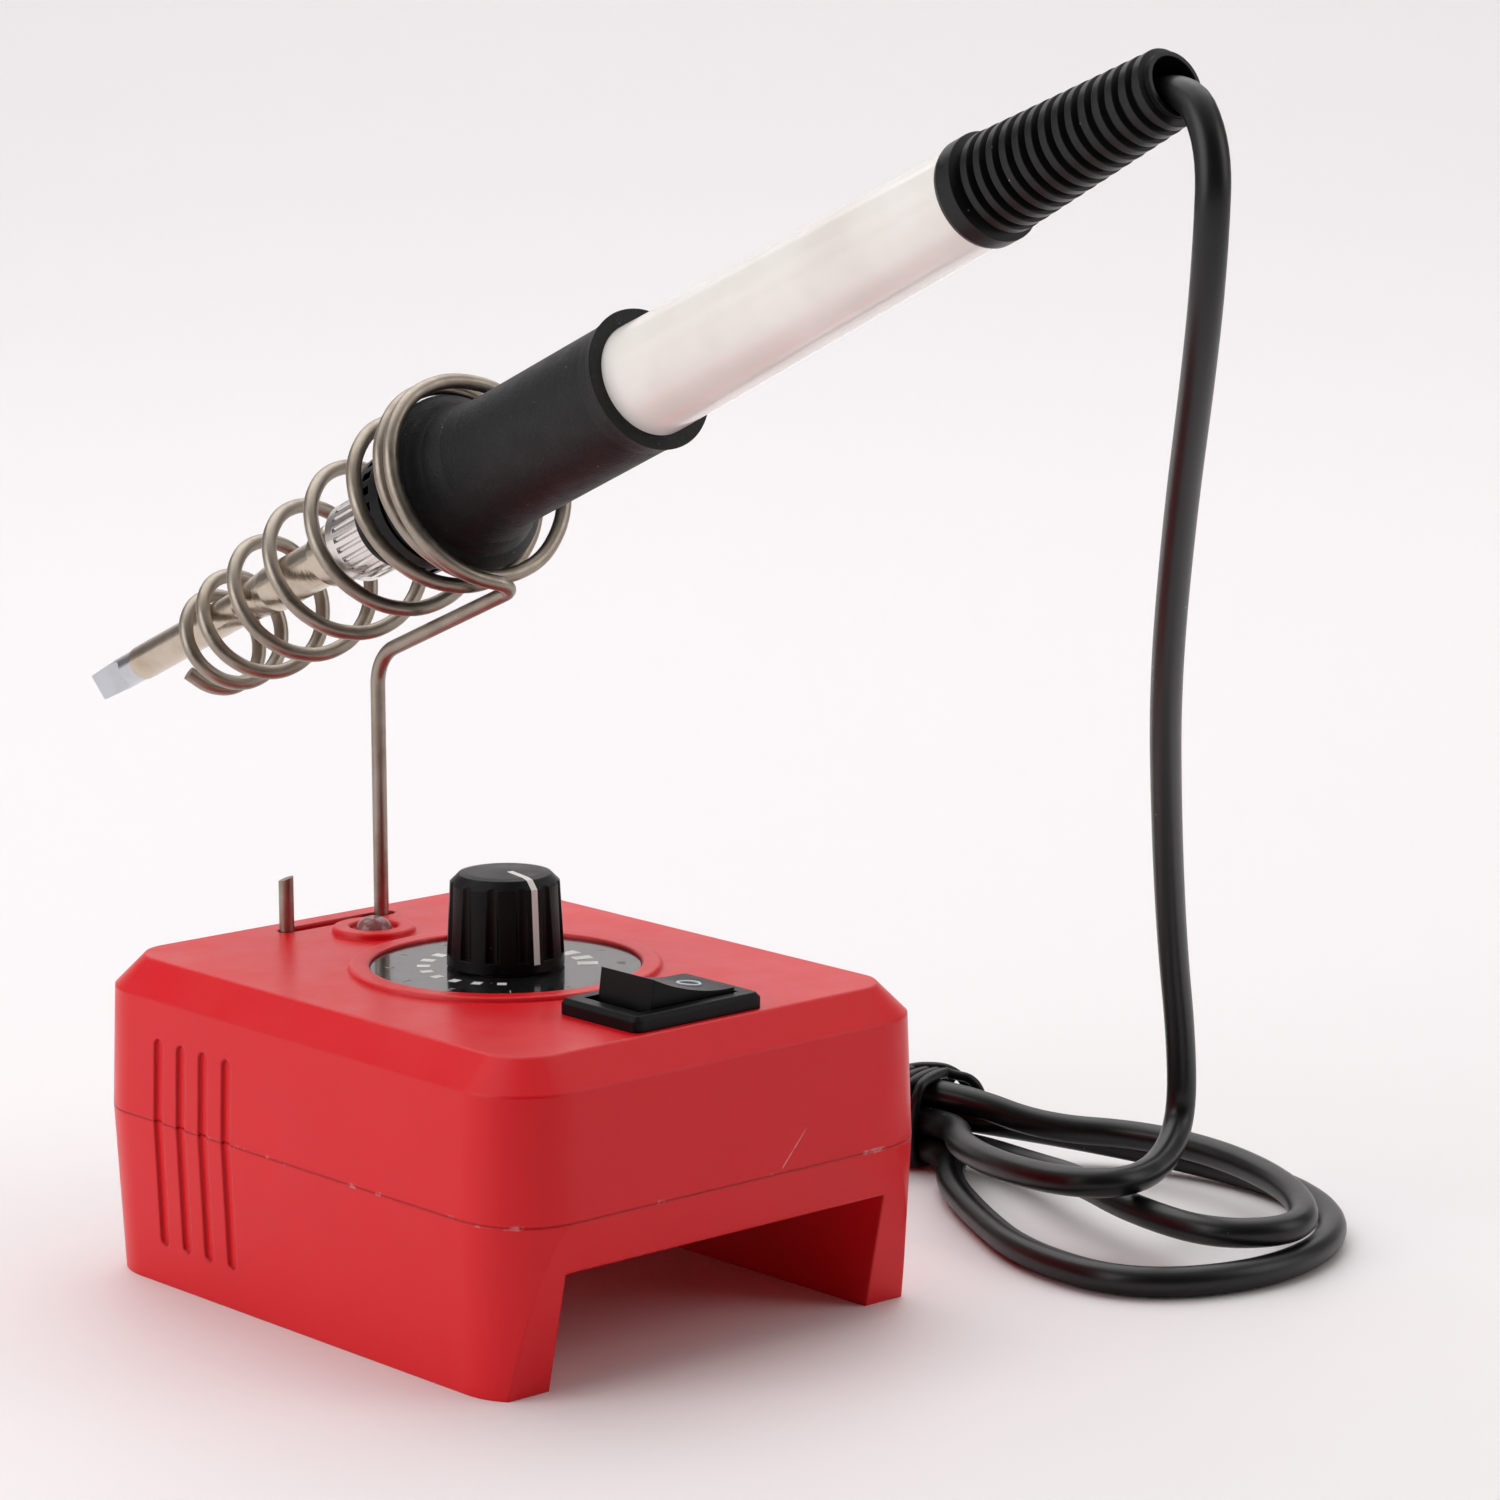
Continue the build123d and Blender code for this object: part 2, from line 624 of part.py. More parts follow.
with BuildPart() as barrel_nut:
    turned([(-43.8, 3.3), (-43.8, 4.9), (-43.2, 5.6), (-35.4, 5.6), (-34.8, 5.1), (-34.8, 3.3)])
    for k in range(24):
        with BuildSketch(station(-41.5)):
            ang = math.radians(15 * k)
            with Locations((5.75 * math.cos(ang), 5.75 * math.sin(ang))):
                Circle(0.42)
        extrude(amount=8, mode=Mode.SUBTRACT)
finish(barrel_nut.part, "barrel_nut")

with BuildPart() as vent_collar:
    turned([(-34.6, 3.35), (-34.6, 6.6), (-31.6, 7.4), (-31.2, 8.7), (-25.6, 8.9), (-25.6, 3.35)])
    # a row of small vent windows round the collar
    with BuildSketch(station(-29.7)):
        for k in range(24):
            ang = math.radians(15 * k + 10)
            with Locations(Location((8.4 * math.cos(ang), 8.4 * math.sin(ang), 0), (0, 0, 15 * k + 10))):
                Rectangle(2.0, 1.25)
    extrude(amount=1.9, mode=Mode.SUBTRACT)
finish(vent_collar.part, "vent_collar")

with BuildPart() as grip:
    turned([
        (-25.5, 3.35), (-25.5, 8.6), (-22.6, 9.0), (-19.9, 11.6), (-19.6, 12.05), (-18.2, 12.05), (-16.8, 10.6),
        (-14.4, 9.5), (-11, 8.9), (-8, 8.75), (19, 8.75), (21, 9.0), (22.25, 9.3), (22.25, 7.0), (12, 7.0),
        (12, 2.25), (-24, 2.25), (-24, 3.35),
    ])
finish(grip.part, "grip")

with BuildPart() as sleeve:
    turned([(12.1, 5.2), (12.1, 7.0), (22.25, 7.0), (22.25, 7.4), (85.7, 6.2), (85.7, 5.0), (30, 5.2)])
finish(sleeve.part, "sleeve")

RIBS = 14
relief = [(78.0, 0), (78.0, 5.0), (85.7, 5.0), (85.7, 6.5), (86.3, 6.75), (88.6, 6.75), (89.2, 5.2)]
pitch = (118.9 - 89.2) / RIBS
for k in range(RIBS):
    share = k / (RIBS - 1)
    crest = 6.2 - 1.55 * share
    root = 5.2 - 1.3 * share
    start = 89.2 + k * pitch
    relief += [
        (start + 0.25 * pitch, root), (start + 0.38 * pitch, crest),
        (start + 0.87 * pitch, crest), (start + pitch, root - 0.05),
    ]
relief += [(119.6, 3.95), (119.6, 3.4), (113.6, 2.8), (113.6, 0)]
with BuildPart() as strain_relief:
    turned(relief)
finish(strain_relief.part, "strain_relief")

# ---- cord from the iron: hangs from the strain relief, lies in a tied hank beside the base,
# then runs over the hank's far loops to the gland in the rear wall ----
TIE_X = 79.5
TIE_Y = 6.0
RUN = (-0.26, 0.966)
SIDE = (0.966, 0.26)


def hank(along, across, height):
    return (
        TIE_X + along * RUN[0] + across * SIDE[0],
        TIE_Y + along * RUN[1] + across * SIDE[1],
        height,
    )


mouth = IRON_O + AXIS * 113.6
exit_bend = IRON_O + AXIS * 121.1
hang = [
    (mouth.X, mouth.Y, mouth.Z), (exit_bend.X, exit_bend.Y, exit_bend.Z), (5.4, -117.2, 153.0), (4.8, -117.5, 142.5),
    (11.5, -110, 129.0), (28.5, -91, 106.5), (45, -73.5, 83.0), (61.5, -58.5, 61.5), (74.5, -47.5, 42),
    (83.5, -41.0, 26), (85.5, -39.5, 15.0), (79, -43.0, 10.7), (67, -48.5, 10.6), (60.5, -43.5, 10.6),
    (61, -30, 9.9), (68.5, -13.5, 8.4),
]
strand_b = [hank(-8, -2.2, 7.05), hank(8, -2.2, 7.05)]
far_upper = [
    hank(23, -16, 7.3), hank(41, -19, 7.4), hank(56, -9, 7.3), hank(56, 9, 7.3), hank(41, 19, 7.4),
    hank(23, 16, 7.3),
]
strand_c = [hank(8, 2.2, 7.05), hank(-8, 2.2, 7.05)]
near_lower = [
    (96, -10, 4.0), (104, -26, 2.1), (103, -47, 2.1), (91, -64, 2.1), (71, -70, 2.1), (53, -62, 2.1),
    (52.5, -43, 2.1), (61, -25, 2.1), (70.5, -9, 2.4),
]
strand_a = [hank(-8, -2.2, 2.95), hank(8, -2.2, 2.95)]
far_lower = [
    hank(22, -17, 2.1), hank(43, -24, 2.1), hank(66, -22, 2.1), hank(82, -9, 2.1), hank(82, 10, 2.1),
    hank(66, 24, 3.5), hank(44, 27, 8.0), hank(24, 17, 11.8),
]
strand_e = [hank(8, 0, 10.7), hank(-8, 0, 10.55)]
near_upper = [
    (87.5, -11, 7.0), (97, -22, 6.4), (97, -39, 6.4), (90, -57, 6.4), (78, -69, 6.4), (67, -63, 6.4),
    (68, -47, 6.4), (74, -31, 6.2), (79.5, -17, 4.2),
]
strand_d = [hank(-8, 2.2, 2.95), hank(8, 2.2, 2.95)]
to_gland = [
    hank(25, 3.5, 2.6), hank(42, 0.5, 2.4), hank(59, -5, 3.0), hank(74, -12, 6.9), (28.5, 86.5, 9.0),
    (16, 75, 20), (15, 61, 28), (15, 52.5, 28),
]
cord_points = hang + strand_b + far_upper + strand_c + near_lower + strand_a
cord_points += far_lower + strand_e + near_upper + strand_d + to_gland
cord_radii = fillet_radii(cord_points)
print("cord bend radii", [round(value, 1) for value in cord_radii])
with BuildPart() as iron_cord:
    with BuildLine() as cord_line:
        FilletPolyline(*cord_points, radius=cord_radii)
    with BuildSketch(Plane(origin=cord_points[0], z_dir=cord_line.wires()[0] % 0)):
        Circle(CORD_D / 2)
    sweep(path=cord_line.wires()[0])
cord_length = cord_line.wires()[0].length
print("cord length", round(cord_length, 1))
print("cord volume / section volume", iron_cord.part.volume / (math.pi * CORD_D ** 2 / 4 * cord_length))
print("stand wire volume / section volume",
      stand_wire.part.volume / (math.pi * WIRE_D ** 2 / 4 * wire_line.wires()[0].length))
finish(iron_cord.part, "iron_cord")

tie_plane = Plane(origin=(TIE_X - 3.5 * RUN[0], TIE_Y - 3.5 * RUN[1], 0), x_dir=(SIDE[0], SIDE[1], 0),
                  z_dir=(RUN[0], RUN[1], 0))
tie_flip = 1 if tie_plane.y_dir.Z > 0 else -1
with BuildPart() as cord_tie:
    with BuildSketch(tie_plane):
        with Locations((0, tie_flip * 6.9)):
            RectangleRounded(10.8, 13.6, 3.0)
            RectangleRounded(9.2, 12.2, 2.2, mode=Mode.SUBTRACT)
    extrude(amount=7.0)
finish(cord_tie.part, "cord_tie")
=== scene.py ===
import json
import math

import bpy
from mathutils import Matrix, Vector


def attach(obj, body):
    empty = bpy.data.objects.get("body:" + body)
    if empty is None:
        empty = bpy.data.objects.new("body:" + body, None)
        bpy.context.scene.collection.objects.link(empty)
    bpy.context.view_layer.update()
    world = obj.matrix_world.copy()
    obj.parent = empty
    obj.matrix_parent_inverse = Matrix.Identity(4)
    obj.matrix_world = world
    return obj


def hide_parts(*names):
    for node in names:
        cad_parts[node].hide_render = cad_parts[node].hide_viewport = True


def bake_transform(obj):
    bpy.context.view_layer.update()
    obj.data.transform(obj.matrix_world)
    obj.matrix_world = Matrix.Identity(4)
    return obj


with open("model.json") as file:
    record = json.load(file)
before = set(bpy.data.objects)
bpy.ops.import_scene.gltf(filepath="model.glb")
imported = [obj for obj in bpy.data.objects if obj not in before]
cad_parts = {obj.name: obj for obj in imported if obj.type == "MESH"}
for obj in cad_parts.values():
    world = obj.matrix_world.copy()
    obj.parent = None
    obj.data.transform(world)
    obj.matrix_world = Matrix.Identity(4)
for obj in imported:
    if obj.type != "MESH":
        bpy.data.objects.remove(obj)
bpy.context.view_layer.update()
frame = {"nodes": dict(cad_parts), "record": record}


nodes = frame["nodes"]
scene = bpy.context.scene
MM = 0.001

# ---------------------------------------------------------------- camera
cam_data = bpy.data.cameras.new("camera")
cam_data.sensor_width = 36.0
cam_data.lens = 120.0
cam_data.clip_start = 0.01
cam_data.clip_end = 50.0
camera = bpy.data.objects.new("camera", cam_data)
scene.collection.objects.link(camera)
right = Vector((0.74474362, -0.66734681, -0.00227706))
up = Vector((0.12414068, 0.13518398, 0.98301291))
back = -Vector((0.6557027, 0.73237527, -0.1835223))
camera.matrix_world = Matrix.Translation(Vector((-0.39642, -0.49014, 0.18788))) @ Matrix((
    (right.x, up.x, back.x), (right.y, up.y, back.y), (right.z, up.z, back.z))).to_4x4()
scene.camera = camera

# ---------------------------------------------------------------- iron axis
TILT = math.radians(24.06)
AXIS = Vector((0, -math.cos(TILT), math.sin(TILT)))
ORIGIN = Vector((0.0076, 0, 0.1101))

# ---------------------------------------------------------------- cord
TIE = Vector((79.5, 6.0, 0))
RUN = Vector((-0.26, 0.966, 0))
SIDE = Vector((0.966, 0.26, 0))


def hank(along, across, height):
    spot = TIE + RUN * along + SIDE * across
    return (spot.x, spot.y, height)


mouth = ORIGIN / MM + AXIS * 113.6
bend = ORIGIN / MM + AXIS * 121.1
route = [
    tuple(mouth), tuple(bend), (5.4, -117.2, 153.0), (4.8, -117.5, 142.5), (11.5, -110, 129.0),
    (28.5, -91, 106.5), (45, -73.5, 83.0), (61.5, -58.5, 61.5), (74.5, -47.5, 42), (83.5, -41.0, 26),
    (85.5, -39.5, 15.0), (79, -43.0, 10.7), (67, -48.5, 10.6), (60.5, -43.5, 10.6), (61, -30, 9.9),
    (68.5, -13.5, 8.4),
    hank(-8, -2.2, 7.05), hank(8, -2.2, 7.05),
    hank(23, -16, 7.3), hank(41, -19, 7.4), hank(56, -9, 7.3), hank(56, 9, 7.3), hank(41, 19, 7.4),
    hank(23, 16, 7.3),
    hank(8, 2.2, 7.05), hank(-8, 2.2, 7.05),
    (96, -10, 4.0), (104, -26, 2.1), (103, -47, 2.1), (91, -64, 2.1), (71, -70, 2.1), (53, -62, 2.1),
    (52.5, -43, 2.1), (61, -25, 2.1), (70.5, -9, 2.4),
    hank(-8, -2.2, 2.95), hank(8, -2.2, 2.95),
    hank(22, -17, 2.1), hank(43, -24, 2.1), hank(66, -22, 2.1), hank(82, -9, 2.1), hank(82, 10, 2.1),
    hank(66, 24, 3.5), hank(44, 27, 8.0), hank(24, 17, 11.8),
    hank(8, 0, 10.7), hank(-8, 0, 10.55),
    (87.5, -11, 7.0), (97, -22, 6.4), (97, -39, 6.4), (90, -57, 6.4), (78, -69, 6.4), (67, -63, 6.4),
    (68, -47, 6.4), (74, -31, 6.2), (79.5, -17, 4.2),
    hank(-8, 2.2, 2.95), hank(8, 2.2, 2.95),
    hank(25, 3.5, 2.6), hank(42, 0.5, 2.4), hank(59, -5, 3.0), hank(74, -12, 6.9), (28.5, 86.5, 9.0),
    (16, 75, 20), (15, 61, 28), (15, 52.5, 28),
]
CORD_R = 0.002
curve = bpy.data.curves.new("cord_route", "CURVE")
curve.dimensions = "3D"
spline = curve.splines.new("NURBS")
spline.points.add(len(route) - 1)
for point, spot in zip(spline.points, route):
    point.co = (spot[0] * MM, spot[1] * MM, spot[2] * MM, 1.0)
spline.order_u = 3
spline.use_endpoint_u = True
spline.resolution_u = 14
route_object = bpy.data.objects.new("cord_route", curve)
scene.collection.objects.link(route_object)
bpy.context.view_layer.update()
line_mesh = bpy.data.meshes.new_from_object(route_object.evaluated_get(bpy.context.evaluated_depsgraph_get()))
line = [v.co.copy() for v in line_mesh.vertices]
bpy.data.objects.remove(route_object)
bpy.data.meshes.remove(line_mesh)


def link(name, verts, faces, body, smooth=True):
    mesh = bpy.data.meshes.new(name)
    mesh.from_pydata([tuple(v) for v in verts], [], faces)
    mesh.update()
    mesh.polygons.foreach_set("use_smooth", [smooth] * len(mesh.polygons))
    obj = bpy.data.objects.new(name, mesh)
    scene.collection.objects.link(obj)
    if body:
        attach(obj, body)
    return obj


def tube(path, radius, sides=20):
    """Closed tube along a dense line of points, its rings kept from twisting."""
    verts = []
    faces = []
    normal = None
    for i, spot in enumerate(path):
        ahead = path[min(i + 1, len(path) - 1)] - path[max(i - 1, 0)]
        ahead.normalize()
        if normal is None:
            normal = ahead.orthogonal().normalized()
        normal = (normal - ahead * normal.dot(ahead)).normalized()
        other = ahead.cross(normal)
        for k in range(sides):
            ang = 2 * math.pi * k / sides
            verts.append(spot + normal * (radius * math.cos(ang)) + other * (radius * math.sin(ang)))
    for i in range(len(path) - 1):
        for k in range(sides):
            a = i * sides + k
            b = i * sides + (k + 1) % sides
            faces.append((a, b, b + sides, a + sides))
    faces.append(tuple(reversed(range(sides))))
    faces.append(tuple(range((len(path) - 1) * sides, len(path) * sides)))
    return verts, faces


spaced = [line[0]]
for spot in line[1:]:
    if (spot - spaced[-1]).length > 0.0007:
        spaced.append(spot)
if (line[-1] - spaced[-1]).length > 1e-6:
    spaced[-1] = line[-1]
cord_verts, cord_faces = tube(spaced, CORD_R * 0.995)
cord = link("cord_skin", cord_verts, cord_faces, None)
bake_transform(cord)
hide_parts("iron_cord")


def smooth_line(points, steps=8):
    """Catmull-Rom line through points given in metres."""
    count = len(points)
    out = []
    for i in range(count - 1):
        p0, p1, p2, p3 = (points[max(0, min(count - 1, i + k - 1))] for k in range(4))
        for j in range(steps):
            t = j / steps
            out.append(0.5 * (2 * p1 + (p2 - p0) * t + (2 * p0 - 5 * p1 + 4 * p2 - p3) * t * t
                              + (3 * p1 - p0 - 3 * p2 + p3) * t * t * t))
    out.append(points[-1])
    return out


# the tie: a plastic-covered wire wound round the bundle, its two ends bent down beside it
TIE_WIRE = 0.0008
TIE_TURNS = 4
TIE_MIDDLE = 6.95
STEPS_PER_TURN = 10
tie_points = []
for k in range(TIE_TURNS * STEPS_PER_TURN + 1):
    turn = k / STEPS_PER_TURN
    ang = 2 * math.pi * turn + 0.6
    c = math.cos(ang)
    s = math.sin(ang)
    across = math.copysign(abs(c) ** 0.55, c) * (5.15 + 0.12 * math.sin(3 * turn))
    height = TIE_MIDDLE + math.copysign(abs(s) ** 0.55, s) * (6.05 if s > 0 else 6.1)
    along = -3.0 + 6.0 * turn / TIE_TURNS + 0.35 * math.sin(ang * 2 + turn)
    tie_points.append(Vector(hank(along, across, max(height, 0.85))) * MM)
tie_verts, tie_faces = tube(smooth_line(tie_points), TIE_WIRE, 12)
tie = link("tie_winding", tie_verts, tie_faces, "base")
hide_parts("cord_tie")


def tie_end(name, spots):
    """One loose end of the tie's wire, bent down beside the bundle."""
    path = [Vector(hank(*spot)) * MM for spot in spots]
    verts, faces = tube(smooth_line(path), TIE_WIRE * 0.9, 12)
    return link(name, verts, faces, "base")


end_a = tie_end("tie_end_a", ((-2.6, 3.0, 13.0), (-3.6, 3.8, 12.5), (-5.4, 5.2, 11.8), (-6.4, 6.3, 10.0),
                              (-6.6, 6.7, 7.4), (-6.2, 6.4, 5.0)))
end_b = tie_end("tie_end_b", ((2.4, 1.0, 13.1), (0.4, 2.4, 13.4), (-2.2, 4.4, 13.0), (-4.0, 5.9, 11.2),
                              (-4.6, 6.4, 8.2)))


# ---------------------------------------------------------------- materials
def srgb(r, g, b):
    def lin(v):
        v = v / 255.0
        return v / 12.92 if v <= 0.04045 else ((v + 0.055) / 1.055) ** 2.4
    return (lin(r), lin(g), lin(b), 1.0)


class Shader:
    """A small helper that builds one procedural material in row-frame coordinates."""

    def __init__(self, name, color, rough, metallic=0.0, specular=0.5, coat=0.0):
        self.mat = bpy.data.materials.new(name)
        self.mat.use_nodes = True
        self.tree = self.mat.node_tree
        self.bsdf = self.tree.nodes["Principled BSDF"]
        self.bsdf.inputs["Base Color"].default_value = color
        self.bsdf.inputs["Roughness"].default_value = rough
        self.bsdf.inputs["Metallic"].default_value = metallic
        self.bsdf.inputs["Specular IOR Level"].default_value = specular
        self.bsdf.inputs["Coat Weight"].default_value = coat
        self.bsdf.inputs["Coat Roughness"].default_value = 0.06
        self.color = color
        self.coord = self.tree.nodes.new("ShaderNodeTexCoord").outputs["Object"]
        self.normal = None

    def node(self, kind, **inputs):
        made = self.tree.nodes.new(kind)
        for key, value in inputs.items():
            made.inputs[key.replace("_", " ")].default_value = value
        return made

    def wire(self, a, b):
        self.tree.links.new(a, b)

    def noise(self, scale, detail=3.0, rough=0.55):
        made = self.node("ShaderNodeTexNoise", Scale=scale, Detail=detail, Roughness=rough)
        self.wire(self.coord, made.inputs["Vector"])
        return made.outputs["Fac"]

    def ramp(self, value, low, high, out_low=0.0, out_high=1.0):
        made = self.tree.nodes.new("ShaderNodeMapRange")
        made.inputs["From Min"].default_value = low
        made.inputs["From Max"].default_value = high
        made.inputs["To Min"].default_value = out_low
        made.inputs["To Max"].default_value = out_high
        self.wire(value, made.inputs["Value"])
        return made.outputs["Result"]

    def math(self, operation, a, b=None):
        made = self.tree.nodes.new("ShaderNodeMath")
        made.operation = operation
        for index, value in enumerate((a, b)):
            if value is None:
                continue
            if isinstance(value, (int, float)):
                made.inputs[index].default_value = value
            else:
                self.wire(value, made.inputs[index])
        return made.outputs["Value"]

    def times(self, a, b):
        return self.math("MULTIPLY", a, b)

    def axis(self, which):
        made = self.tree.nodes.new("ShaderNodeSeparateXYZ")
        self.wire(self.coord, made.inputs["Vector"])
        return made.outputs[which]

    def along(self, direction, origin):
        shift = self.tree.nodes.new("ShaderNodeVectorMath")
        shift.operation = "SUBTRACT"
        self.wire(self.coord, shift.inputs[0])
        shift.inputs[1].default_value = origin
        dot = self.tree.nodes.new("ShaderNodeVectorMath")
        dot.operation = "DOT_PRODUCT"
        self.wire(shift.outputs["Vector"], dot.inputs[0])
        dot.inputs[1].default_value = direction
        return dot.outputs["Value"]

    def mix_color(self, factor, other):
        made = self.tree.nodes.new("ShaderNodeMix")
        made.data_type = "RGBA"
        self.wire(factor, made.inputs["Factor"])
        source = self.bsdf.inputs["Base Color"]
        if source.is_linked:
            self.wire(source.links[0].from_socket, made.inputs["A"])
        else:
            made.inputs["A"].default_value = self.color
        made.inputs["B"].default_value = other
        self.wire(made.outputs["Result"], self.bsdf.inputs["Base Color"])

    def vary_rough(self, value, low, high):
        self.wire(self.ramp(value, 0.3, 0.7, low, high), self.bsdf.inputs["Roughness"])

    def bump(self, height, strength, distance):
        made = self.node("ShaderNodeBump", Strength=strength, Distance=distance)
        self.wire(height, made.inputs["Height"])
        if self.normal is not None:
            self.wire(self.normal, made.inputs["Normal"])
        self.normal = made.outputs["Normal"]
        self.wire(self.normal, self.bsdf.inputs["Normal"])

    def soften(self, radius):
        made = self.tree.nodes.new("ShaderNodeBevel")
        made.samples = 6
        made.inputs["Radius"].default_value = radius
        self.normal = made.outputs["Normal"]
        self.wire(self.normal, self.bsdf.inputs["Normal"])

    def stroke(self, height, middle, way, half_length, half_width):
        """A short straight mark in the X-Z plane, 1 on the mark and 0 off it."""
        across = self.math("SUBTRACT", self.axis("X"), middle[0])
        rise = self.math("SUBTRACT", height, middle[1])
        along = self.math("ADD", self.times(across, way[0]), self.times(rise, way[1]))
        offset = self.math("SUBTRACT", self.times(across, way[1]), self.times(rise, way[0]))
        narrow = self.ramp(self.math("ABSOLUTE", offset), half_width, half_width + 0.00007, 1.0, 0.0)
        short = self.ramp(self.math("ABSOLUTE", along), half_length, half_length + 0.0005, 1.0, 0.0)
        return self.times(narrow, short)

    def specks(self, scale, size, share, other, seed=0.0):
        """Dust: a round spot in a few cells of a cell pattern, picked by the cell's own random colour."""
        moved = self.tree.nodes.new("ShaderNodeMapping")
        moved.inputs["Location"].default_value = (seed, 0.3 * seed, 0.7 * seed)
        self.wire(self.coord, moved.inputs["Vector"])
        cells = self.node("ShaderNodeTexVoronoi", Scale=scale)
        self.wire(moved.outputs["Vector"], cells.inputs["Vector"])
        parts = self.tree.nodes.new("ShaderNodeSeparateColor")
        self.wire(cells.outputs["Color"], parts.inputs["Color"])
        spot = self.ramp(cells.outputs["Distance"], size, size * 0.5)
        pick = self.math("GREATER_THAN", parts.outputs["Red"], 1.0 - share)
        self.mix_color(self.times(spot, pick), other)


SEAM_Z = 0.0221
SCRATCH_SPOT = (0.0097, 0.0249)
SCRATCH_WAY = (0.694, 0.720)


def make_red():
    s = Shader("shell_red", srgb(224, 8, 24), 0.31, specular=0.36)
    s.soften(0.0006)
    s.mix_color(s.ramp(s.noise(45, 3), 0.35, 0.75, 0.0, 0.35), srgb(212, 6, 20))
    s.vary_rough(s.noise(120, 4), 0.29, 0.39)
    s.bump(s.noise(1500, 2, 0.6), 0.10, 0.00012)
    s.bump(s.noise(90, 2), 0.05, 0.0006)
    height = s.axis("Z")
    seam = s.math("ABSOLUTE", s.math("SUBTRACT", height, SEAM_Z))
    line = s.ramp(seam, 0.00005, 0.00013, 1.0, 0.0)
    s.mix_color(s.times(line, 0.35), srgb(150, 6, 18))
    # pale patchy band along the split line: partly moulding flash with small burrs, partly a painted
    # highlight of the slight step there
    seam_flash_and_highlight = s.ramp(seam, 0.00016, 0.00040, 1.0, 0.0)
    patch = s.ramp(s.noise(260, 3, 0.7), 0.60, 0.68)
    s.mix_color(s.times(s.times(seam_flash_and_highlight, patch), 0.6), srgb(238, 170, 170))
    s.bump(s.times(line, -1.0), 0.3, 0.0001)
    scratch = s.stroke(height, middle=SCRATCH_SPOT, way=SCRATCH_WAY, half_length=0.0027, half_width=0.00005)
    scratch = s.times(scratch, s.ramp(s.axis("Y"), -0.0430, -0.0432))
    worn = s.ramp(s.noise(900, 2), 0.35, 0.6, 0.2, 0.75)
    s.mix_color(s.times(scratch, worn), srgb(238, 170, 168))
    s.specks(420, 0.05, 0.04, srgb(236, 140, 140))
    s.specks(150, 0.028, 0.05, srgb(80, 6, 12), seed=0.13)
    return s.mat


def make_black(name, level, rough, grain, dust=0.03, coat=0.0, soft=0.0002, strength=0.35, spec=0.3,
               mottle=0.5):
    s = Shader(name, srgb(level, level, level + 1), rough, specular=spec, coat=coat)
    if soft:
        s.soften(soft)
    s.mix_color(s.ramp(s.noise(150, 3), 0.3, 0.75, 0.0, mottle), srgb(level + 10, level + 10, level + 12))
    s.vary_rough(s.noise(300, 3), rough - 0.06 * mottle, rough + 0.10 * mottle)
    s.bump(s.noise(grain, 3, 0.6), strength, 0.0001)
    s.specks(900, 0.14, dust, srgb(150, 150, 152))
    return s.mat


def make_metal(name, color, rough, direction=None, rings=0.0, blotch=(90, 74, 60), amount=0.3, soft=0.0):
    s = Shader(name, color, rough, metallic=1.0)
    if soft:
        s.soften(soft)
    s.mix_color(s.ramp(s.noise(220, 4), 0.45, 0.8, 0.0, amount), srgb(*blotch))
    s.vary_rough(s.noise(700, 4, 0.7), rough - 0.07, rough + 0.12)
    if rings:
        way = s.along(direction, tuple(ORIGIN))
        line = s.tree.nodes.new("ShaderNodeTexNoise")
        line.noise_dimensions = "1D"
        line.inputs["Scale"].default_value = rings
        line.inputs["Detail"].default_value = 3.0
        s.wire(way, line.inputs["W"])
        s.bump(line.outputs["Fac"], 0.22, 0.00004)
    s.bump(s.noise(2600, 3, 0.7), 0.18, 0.00003)
    return s.mat


def make_white(name, color, rough, coat=0.0):
    s = Shader(name, color, rough, specular=0.5, coat=coat)
    s.mix_color(s.ramp(s.noise(60, 3), 0.35, 0.75, 0.0, 0.5), srgb(226, 214, 205))
    s.vary_rough(s.noise(400, 3), rough, rough + 0.08)
    s.bump(s.noise(120, 2), 0.05, 0.0004)
    s.specks(500, 0.06, 0.02, srgb(150, 140, 134))
    return s.mat


def make_grip():
    s = Shader("grip_black", srgb(17, 17, 18), 0.50, specular=0.32)
    s.soften(0.0003)
    s.vary_rough(s.noise(300, 3), 0.46, 0.58)
    s.bump(s.noise(2600, 3, 0.6), 0.9, 0.0001)
    s.mix_color(s.ramp(s.noise(1900, 2, 0.5), 0.66, 0.72, 0.0, 0.45), srgb(60, 58, 62))
    s.specks(1300, 0.14, 0.05, srgb(140, 136, 140))
    return s.mat


def make_lamp(name, color, transmission):
    s = Shader(name, color, 0.08, specular=0.5)
    s.bsdf.inputs["Transmission Weight"].default_value = transmission
    s.bsdf.inputs["IOR"].default_value = 1.5
    s.bsdf.inputs["Subsurface Weight"].default_value = 0.0
    s.bump(s.noise(900, 2), 0.05, 0.0001)
    s.vary_rough(s.noise(500, 2), 0.05, 0.14)
    return s.mat


